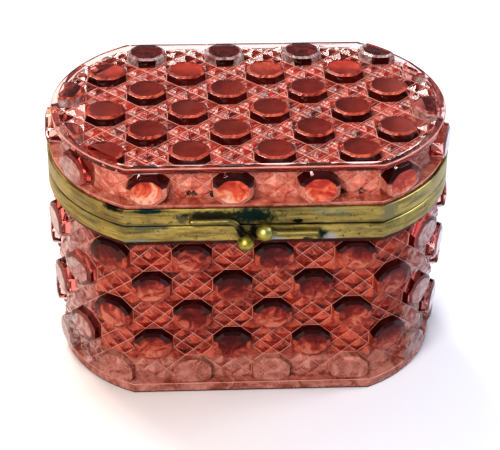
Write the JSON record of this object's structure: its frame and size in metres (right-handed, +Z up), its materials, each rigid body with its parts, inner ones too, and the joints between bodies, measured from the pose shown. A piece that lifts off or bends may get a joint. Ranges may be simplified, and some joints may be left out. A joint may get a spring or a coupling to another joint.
{
  "type": "jewel casket",
  "caption": "Cut glass jewel box with bowed ends and a hinged glass lid, in brass rims that close with a ball clasp.",
  "frame": {"origin": "middle of the underside, on the surface that the casket stands on", "axes": "+Z up, +X along the length, to the right as seen from the clasp side, +Y to the hinge at the back"},
  "size_m": [0.1408, 0.1043, 0.0954],
  "materials": {
    "cut_glass": "cut clear glass, stained red on the inside",
    "rim_brass": "aged, brushed along its length, with brown and green patina",
    "clasp_brass": "rubbed bright on the balls, dark in the corners"
  },
  "bodies": {
    "casket": {"glass_body": "cut_glass", "lower_rim": "rim_brass", "clasp_lower_arm": "clasp_brass", "hinge_lower_leaf": "rim_brass", "hinge_pin": "rim_brass"},
    "lid": {"glass_lid": "cut_glass", "upper_rim": "rim_brass", "clasp_upper_arm": "clasp_brass", "hinge_upper_leaf": "rim_brass"}
  },
  "joints": [
    {"name": "lid_hinge", "type": "hinge", "parent": "casket", "child": "lid", "pos_m": [0, 0.04925, 0.0727], "axis": [-1, 0, 0], "range_deg": [0, 100]}
  ]
}
